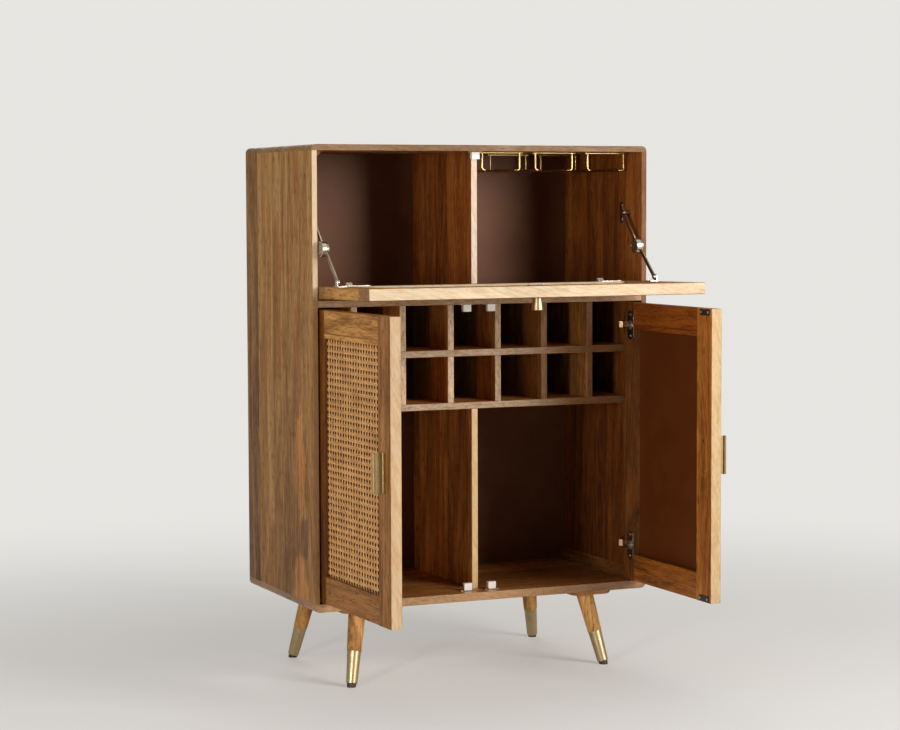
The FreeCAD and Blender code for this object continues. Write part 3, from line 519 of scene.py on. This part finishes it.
# which finish each carried-over node takes
finishes = {"left_side_panel": wood["sideLeft"], "right_side_panel": wood["sideRight"],
            "top_panel": wood["top"], "bottom_panel": wood["bottom"], "middle_shelf": wood["shelf"],
            "upper_divider": wood["upperUpright"], "lower_divider": wood["lowerUpright"],
            "rack_bottom_board": wood["rackBoard"], "rack_row_board": wood["rackBoard"],
            "corner_strips": wood["cornerStrip"], "legs": wood["leg"], "leg_blocks": wood["block"],
            "back_panel": boards["back"], "leg_ferrules": metals["brass"],
            "leg_glides": plastics["glideBrown"], "leg_bolts": metals["nickel"],
            "stemware_channels": metals["wire"],
            "magnet_catches": plastics["catchWhite"], "door_hinge_arms": metals["plateWithPaintedReflection"],
            "flap_hinge_arms": metals["plate"], "stay_wall_brackets": metals["antique"],
            "stay_foot_brackets": metals["nickel"], "flap_rear_rail": wood["flapRail"],
            "flap_front_rail": wood["flapRail"], "flap_left_stile": wood["flapStile"],
            "flap_right_stile": wood["flapStile"], "flap_backing_panel": boards["flap"],
            "flap_hinge_cups": metals["plate"], "flap_knob": metals["brass"],
            "flap_strike_plate": plastics["strikeBlack"]}
# the rack dividers take lit and shaded copies of one wood: painted light on the left, painted shade on the
# right
rackWoods = ("rackLeft", "rackLeft", "rackLeft", "rackMiddle", "rackRight", "rackRight")
finishes.update({"rack_divider_%d" % (number + 1): wood[key] for number, key in enumerate(rackWoods)})
for side in ("left", "right"):
    door = side + "_door_"
    finishes.update({door + "hinge_stile": wood[side + "Stile"], door + "free_stile": wood[side + "Free"],
                     door + "top_rail": wood[side + "TopRail"], door + "bottom_rail": wood[side + "LowRail"],
                     door + "backing_panel": boards[side + "_door"], door + "pull": metals["pull"],
                     door + "hinge_cups": metals["nickel"], door + "strike_plates": plastics["strikeBlack"],
                     side + "_stay_upper_arm": metals["nickel"], side + "_stay_lower_arm": metals["bronze"]})
for name, finish in finishes.items():
    nodes[name].data.materials.clear()
    nodes[name].data.materials.append(finish)
print("finishes given:", len(finishes))


# new meshes go in as whole arrays: vertices by rows, faces as quads
def makePiece(name, points, quads, finish, body, values=None, smooth=True):
    mesh = bpy.data.meshes.new(name)
    mesh.vertices.add(len(points))
    mesh.vertices.foreach_set("co", np.asarray(points, np.float32).ravel())
    mesh.loops.add(quads.size)
    mesh.loops.foreach_set("vertex_index", np.asarray(quads, np.int32).ravel())
    mesh.polygons.add(len(quads))
    mesh.polygons.foreach_set("loop_start", np.arange(0, quads.size, 4, dtype=np.int32))
    mesh.polygons.foreach_set("use_smooth", np.full(len(quads), smooth))
    for key, row in (values or {}).items():
        mesh.attributes.new(key, "FLOAT", "POINT").data.foreach_set("value", np.asarray(row, np.float32))
    mesh.update(calc_edges=True)
    mesh.validate()
    mesh.materials.append(finish)
    piece = bpy.data.objects.new(name, mesh)
    bpy.context.scene.collection.objects.link(piece)
    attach(piece, body)
    return piece


# a turning leaf as it stands shut, and the turn that brings it back to the open rest pose
class Leaf:
    def __init__(self, jointName):
        joint = joints[jointName]
        angle = math.radians(joint["range_deg"][0])
        self.pivot = np.array(joint["pos_m"])
        self.toShut = np.array(Matrix.Rotation(angle, 3, Vector(joint["axis"])))

    def shutPoints(self, name):
        mesh = nodes[name].data
        flat = np.zeros(len(mesh.vertices) * 3, np.float32)
        mesh.vertices.foreach_get("co", flat)
        return (flat.reshape(-1, 3) - self.pivot) @ self.toShut.T + self.pivot

    def shutBox(self, name):
        shut = self.shutPoints(name)
        return shut.min(0), shut.max(0)

    def open(self, points):
        return (points - self.pivot) @ self.toShut + self.pivot


leaves = {body: Leaf(body + "_hinge") for body in ("left_door", "right_door", "flap")}

# cane webbing: upright and level strands in pairs, crossed by two sets of slanting strands
weaveSet = {"pitch": 0.0139, "pairGap": 0.00155, "width": 0.0023, "slantWidth": 0.0019, "thick": 0.0007,
            "crown": 0.27, "pairLift": 0.0004, "slantLift": 0.00078, "groove": 0.008, "tuck": 0.004,
            "gripReach": 0.004, "gripLift": 0.45, "gripShift": 0.62, "steps": 8, "slantSteps": 8,
            "fewest": 3, "shortest": 0.3, "seed": 7}


# strands of one set: each centre line runs from start to end, lifted by its own wave, with a crowned profile
def strandSet(starts, ends, lifts, width, setup, rng):
    allPoints, allQuads, tones, runs = [], [], [], []
    first = 0
    crown = setup["crown"]
    profile = np.array([[-0.5, -0.5], [-crown, 0.5], [crown, 0.5], [0.5, -0.5]]) * (width, setup["thick"])
    ring = np.array([[0, 1, 5, 4], [1, 2, 6, 5], [2, 3, 7, 6], [3, 0, 4, 7]])
    for start, end, lift in zip(starts, ends, lifts):
        length = np.linalg.norm(end - start)
        along = (end - start) / length
        aside = np.array([along[1], -along[0]])
        t = np.linspace(0, 1, len(lift))[:, None]
        centre = start + (end - start) * t
        flat = centre[:, None, :] + profile[None, :, :1] * aside
        rise = lift[:, None] + profile[None, :, 1]
        allPoints.append(np.dstack([flat, rise]).reshape(-1, 3))
        base = first + np.arange(len(lift) - 1)[:, None] * 4
        allQuads.append((base[:, :, None] + ring[None]).reshape(-1, 4))
        last = first + (len(lift) - 1) * 4
        caps = [[first + 3, first + 2, first + 1, first], [last, last + 1, last + 2, last + 3]]
        allQuads.append(np.array(caps))
        tones.append(np.full(len(lift) * 4, rng.random()))
        runs.append(np.repeat(t[:, 0] * length, 4))
        first += len(lift) * 4
    return np.concatenate(allPoints), np.concatenate(allQuads), np.concatenate(tones), np.concatenate(runs)


# pair wave: up at one strand of a crossing pair and down at the other, flat between the pairs
def pairWave(place, pitch, gap):
    t = (place / pitch + 0.5) % 1.0 - 0.5
    ratio = t * pitch / gap
    return -ratio * np.exp(0.5 * (1 - ratio ** 2))


def weave(wide, tall, setup, kind):
    gap = setup["pairGap"]
    rng = np.random.default_rng(setup["seed"])
    starts, ends, lifts = [], [], []
    columns = int(round(wide / setup["pitch"]))
    rows = int(round(tall / setup["pitch"]))
    stepX, stepY = wide / columns, tall / rows
    if kind == "straight":
        for column in range(columns + 1):
            for strand in (0, 1):
                x = column * stepX + (2 * strand - 1) * gap
                if 0 < x < wide:
                    y = np.linspace(0, tall, rows * setup["steps"] + 1)
                    starts.append(np.array([x, 0.0]))
                    ends.append(np.array([x, tall]))
                    lifts.append((-1) ** strand * setup["pairLift"] * pairWave(y, stepY, gap))
        for row in range(rows + 1):
            for strand in (0, 1):
                y = row * stepY + (2 * strand - 1) * gap
                if 0 < y < tall:
                    x = np.linspace(0, wide, columns * setup["steps"] + 1)
                    starts.append(np.array([0.0, y]))
                    ends.append(np.array([wide, y]))
                    lifts.append(-(-1) ** strand * setup["pairLift"] * pairWave(x, stepX, gap))
        return strandSet(starts, ends, lifts, setup["width"], setup, rng)
    # slanting strands y = slope (x - c) and y = slope (c - x), halfway between the crossings of the pairs
    slope = stepY / stepX
    for direction in (1, -1):
        for number in range(-rows - 1, columns + rows + 1):
            c = (number + 0.5) * stepX
            if direction == 1:
                x0, x1 = max(0.0, c), min(wide, c + tall / slope)
            else:
                x0, x1 = max(0.0, c - tall / slope), min(wide, c)
            if x1 - x0 < stepX * setup["shortest"]:
                continue
            count = max(setup["fewest"], int(round((x1 - x0) / stepX * setup["slantSteps"])) + 1)
            x = np.linspace(x0, x1, count)
            y = (x - c) * slope * direction
            starts.append(np.array([x[0], y[0]]))
            ends.append(np.array([x[-1], y[-1]]))
            lifts.append(direction * setup["slantLift"] * np.cos(2 * np.pi * x / stepX))
    return strandSet(starts, ends, lifts, setup["slantWidth"], setup, rng)


# the sheet lies in the leaf's groove: flat X along the width, flat Y up, lift towards the outer face
def caneSheet(body, node):
    leaf = leaves[body]
    low, high = leaf.shutBox(node)
    inset = weaveSet["groove"] - weaveSet["tuck"]
    left, right = low[0] + inset, high[0] - inset
    bottom, top = low[2] + inset, high[2] - inset
    wide, tall = right - left, top - bottom
    reach = weaveSet["slantLift"] + weaveSet["thick"] / 2
    gripLift, gripShift = weaveSet["gripLift"], weaveSet["gripShift"]
    for kind in ("straight", "slant"):
        points, quads, tones, runs = weave(wide, tall, weaveSet, kind)
        edge = np.minimum.reduce([points[:, 0], wide - points[:, 0], points[:, 1], tall - points[:, 1]])
        grip = np.clip((edge - weaveSet["tuck"]) / weaveSet["gripReach"], 0, 1)
        lift = points[:, 2] * (gripLift + (1 - gripLift) * grip)
        shift = reach * (gripShift + (1 - gripShift) * grip)
        placed = np.column_stack([left + points[:, 0], high[1] - shift - lift, bottom + points[:, 1]])
        name = "%s_cane_%s_strands" % (body, kind)
        piece = makePiece(name, leaf.open(placed), quads, cane, body,
                          {"strandTone": tones, "strandRun": runs})
        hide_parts(node)


for body in leaves:
    caneSheet(body, body + "_cane_panel")
print("cane woven")

# screw heads: height = crown * (1 - fall (r / radius)^2), with a cross-shaped pit along every third spoke
screwSet = {"radius": 0.0029, "crown": 0.0013, "fall": 0.45, "pit": 0.0008, "spokes": 12, "sink": 0.0002,
            "seed": 3, "rings": (0.22, 0.52, 0.64, 0.88, 1.0)}
# where screws sit: half a hinge flange, half a mounting plate, and places from the middle of each fitting
seatSet = {"flange": (0.013, 0.0315), "flangeScrew": 0.024, "strikeHalf": 0.0065, "strikeScrew": 0.0148,
           "plate": (0.013, 0.022), "plateThick": 0.0025, "plateScrew": 0.0162, "earHalf": 0.0185,
           "earThick": 0.0015, "earScrew": 0.0143, "flapCatch": -0.008, "footThick": 0.002,
           "footScrew": (0.0046, 0.008), "block": (0.052, 0.046), "blockScrew": (0.037, 0.031)}


def headShape(setup):
    spokes, radius = setup["spokes"], setup["radius"]
    angle = np.arange(spokes) * 2 * np.pi / spokes
    arm = np.arange(spokes) % (spokes // 4) == 0
    rows = []
    for ring, share in enumerate(setup["rings"]):
        height = np.full(spokes, setup["crown"] * (1 - setup["fall"] * share ** 2))
        height -= setup["pit"] * (np.ones(spokes) if ring == 0 else arm if ring == 1 else np.zeros(spokes))
        rows.append(np.column_stack([share * radius * np.cos(angle), share * radius * np.sin(angle), height]))
    foot = rows[-1].copy()
    foot[:, 2] = -setup["sink"]
    rows.append(foot)
    here = np.arange(spokes)
    ahead = (here + 1) % spokes
    bands = [np.column_stack([here, here + spokes, ahead + spokes, ahead]) + ring * spokes
             for ring in range(len(rows) - 1)]
    near = np.arange(spokes // 2 - 1)
    cap = np.column_stack([near, near + 1, spokes - 2 - near, spokes - 1 - near])
    base = cap[:, ::-1] + (len(rows) - 1) * spokes
    return np.concatenate(rows), np.concatenate(bands + [cap, base])


# each seat is a middle and the way out of the surface, and each head is turned by chance
def screwHeads(body, seats, turn=None):
    shape, faces = headShape(screwSet)
    rng = np.random.default_rng(screwSet["seed"])
    points, quads = [], []
    for middle, outward in seats:
        outward = np.array(outward, float)
        first = np.roll(outward, 1)
        second = np.cross(outward, first)
        angle = rng.uniform(0, np.pi)
        aside = first * np.cos(angle) + second * np.sin(angle)
        axes = np.array([aside, np.cross(outward, aside), outward])
        quads.append(faces + len(points) * len(shape))
        points.append(np.array(middle) + shape @ axes)
    points = np.concatenate(points)
    makePiece(body + "_screws", turn(points) if turn else points, np.concatenate(quads), metals["nickel"],
              body, smooth=False)


def leafSeats(body):
    leaf, inward = leaves[body], (0, 1, 0)
    across, half = seatSet["flange"]
    flangeScrew, strikeScrew = seatSet["flangeScrew"], seatSet["strikeScrew"]
    low, high = leaf.shutBox(body + "_hinge_cups")
    seats = []
    if body == "flap":
        for x in (low[0] + half, high[0] - half):
            seats += [((x + side * flangeScrew, high[1], high[2] - across), inward) for side in (-1, 1)]
        low, high = leaf.shutBox("flap_strike_plate")
        middle = (low + high) / 2
        seats += [((middle[0] + side * strikeScrew, high[1], middle[2]), inward) for side in (-1, 1)]
        feet = leaf.shutPoints("stay_foot_brackets")
        aside, along = seatSet["footScrew"]
        for side in (-1, 1):
            foot = feet[feet[:, 0] * side > 0]
            low, high = foot.min(0), foot.max(0)
            x = side * (np.abs(foot[:, 0]).min() + aside)
            z = (low[2] + high[2]) / 2
            seats += [((x, low[1] + seatSet["footThick"], z + end * along), inward) for end in (-1, 1)]
        return seats
    x = high[0] - across if body == "left_door" else low[0] + across
    for z in (low[2] + half, high[2] - half):
        seats += [((x, high[1], z + side * flangeScrew), inward) for side in (-1, 1)]
    low, high = leaf.shutBox(body + "_strike_plates")
    x = (low[0] + high[0]) / 2
    for z in (low[2] + seatSet["strikeHalf"], high[2] - seatSet["strikeHalf"]):
        seats += [((x + side * strikeScrew, high[1], z), inward) for side in (-1, 1)]
    return seats


def carcassSeats():
    seats = []
    across, half = seatSet["plate"]
    thick, plateScrew = seatSet["plateThick"], seatSet["plateScrew"]
    low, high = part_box("door_hinge_arms")
    for side in (-1, 1):
        for z in (low.z + half, high.z - half):
            seats += [((side * (high.x - thick), high.y - across, z + end * plateScrew), (-side, 0, 0))
                      for end in (-1, 1)]
    low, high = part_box("flap_hinge_arms")
    for x in (low.x + half, high.x - half):
        seats += [((x + end * plateScrew, high.y - across, low.z + thick), (0, 0, 1)) for end in (-1, 1)]
    low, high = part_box("magnet_catches")
    doorCatch = high.x - seatSet["earHalf"]
    ears = [(side * doorCatch, low.z + seatSet["earThick"], 1) for side in (-1, 1)]
    ears += [(side * doorCatch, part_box("middle_shelf")[0].z - seatSet["earThick"], -1) for side in (-1, 1)]
    ears += [(seatSet["flapCatch"], high.z - seatSet["earThick"], -1)]
    for x, z, up in ears:
        seats += [((x + end * seatSet["earScrew"], (low.y + high.y) / 2, z), (0, 0, up)) for end in (-1, 1)]
    low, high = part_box("leg_blocks")
    blockX, blockY = seatSet["block"]
    screwX, screwY = seatSet["blockScrew"]
    for cornerX in (-1, 1):
        for cornerY in (-1, 1):
            x, y = cornerX * (high.x - blockX), cornerY * (high.y - blockY)
            seats += [((x + sideX * screwX, y + sideY * screwY, low.z), (0, 0, -1))
                      for sideX in (-1, 1) for sideY in (-1, 1)]
    return seats


screwHeads("cabinet", carcassSeats())
for body, leaf in leaves.items():
    screwHeads(body, leafSeats(body), leaf.open)
print("screws set")

# light: a softbox at the front right, a narrow fill at the front left, weak ones at the side, rear and top,
# and an even surround
lightSet = {"key": {"place": (1.77, -3.23, 1.62), "size": (1.6, 1.7), "watts": 116.0,
                    "colour": (1.0, 0.965, 0.92)},
            "fill": {"place": (-3.1, -2.9, 0.98), "size": (0.5, 1.0), "watts": 56.0,
                     "colour": (1.0, 0.965, 0.92)},
            "side": {"place": (-3.6, -0.9, 2.1), "size": (1.8, 1.8), "watts": 14.0,
                     "colour": (1.0, 0.97, 0.94)},
            "rear": {"place": (0.8, 3.4, 1.9), "size": (2.2, 2.2), "watts": 34.0,
                     "colour": (1.0, 0.97, 0.94)},
            "top": {"place": (0.2, -0.4, 3.3), "size": (2.6, 2.6), "watts": 16.0,
                    "colour": (1.0, 0.99, 0.97)}}
stageSet = {"target": (0.0, -0.1, 0.6), "floor": (0.82, 0.81, 0.79), "mottle": (3.0, 3.0),
            "mottleShade": 0.97, "floorRough": 0.75, "surround": (0.80, 0.785, 0.755), "ambient": 0.10,
            "ambientColour": (1, 0.985, 0.965), "gloss": 0.40, "half": 14.0, "fadeFrom": 0.4, "fadeTo": 2.8,
            "least": 0.35}


def makeLight(name, setup):
    data = bpy.data.lights.new(name, "AREA")
    data.shape = "RECTANGLE"
    data.size, data.size_y = setup["size"]
    data.energy = setup["watts"]
    data.color = setup["colour"]
    lamp = bpy.data.objects.new(name, data)
    lamp.location = setup["place"]
    aim = Vector(stageSet["target"]) - Vector(setup["place"])
    lamp.rotation_euler = aim.to_track_quat("-Z", "Y").to_euler()
    bpy.context.scene.collection.objects.link(lamp)


def seenDirectly(tree):
    path = put(tree, "LightPath").outputs
    mirrored = calc(tree, "MULTIPLY", path["Is Glossy Ray"], stageSet["gloss"])
    seen = calc(tree, "MAXIMUM", path["Is Camera Ray"], mirrored)
    return calc(tree, "MAXIMUM", seen, path["Is Transmission Ray"])


def makeSurround():
    world = bpy.data.worlds.new("studio")
    world.use_nodes = True
    tree = world.node_tree
    tree.nodes.clear()
    ambient = {"Color": (*stageSet["ambientColour"], 1), "Strength": stageSet["ambient"]}
    shown = put(tree, "Background", {"Color": (*stageSet["surround"], 1), "Strength": 1.0})
    soft = put(tree, "Background", ambient)
    both = put(tree, "MixShader", {0: seenDirectly(tree), 1: soft.outputs[0], 2: shown.outputs[0]})
    out = put(tree, "OutputWorld")
    tree.links.new(both.outputs[0], out.inputs[0])
    bpy.context.scene.world = world


# floor: a flat square whose far parts melt into the surround
def makeFloor():
    half = stageSet["half"]
    corners = [[-half, -half, 0], [half, -half, 0], [half, half, 0], [-half, half, 0]]
    mesh = bpy.data.meshes.new("studioFloor")
    mesh.from_pydata(corners, [], [[0, 1, 2, 3]])
    made, tree, shader = startMaterial("studioFloor")
    where = put(tree, "TexCoord").outputs["Object"]
    mottle = noise(tree, where, *stageSet["mottle"])
    low = tuple(value * stageSet["mottleShade"] for value in stageSet["floor"])
    tree.links.new(blendColour(tree, mottle, low, stageSet["floor"]), shader.inputs["Base Color"])
    shader.inputs["Roughness"].default_value = stageSet["floorRough"]
    reach = put(tree, "VectorMath", {0: where}, operation="LENGTH").outputs["Value"]
    fade = stepBetween(tree, reach, stageSet["fadeFrom"], stageSet["fadeTo"], stageSet["least"], 1.0)
    share = calc(tree, "MULTIPLY", fade, seenDirectly(tree))
    glow = put(tree, "Emission", {"Color": (*stageSet["surround"], 1), "Strength": 1.0})
    both = put(tree, "MixShader", {0: share, 1: shader.outputs[0], 2: glow.outputs[0]})
    out = [one for one in tree.nodes if one.bl_idname == "ShaderNodeOutputMaterial"][0]
    tree.links.new(both.outputs[0], out.inputs[0])
    mesh.materials.append(made)
    floor = bpy.data.objects.new("studioFloor", mesh)
    bpy.context.scene.collection.objects.link(floor)


for name, setup in lightSet.items():
    makeLight(name, setup)
makeSurround()
makeFloor()
print("stage lit")
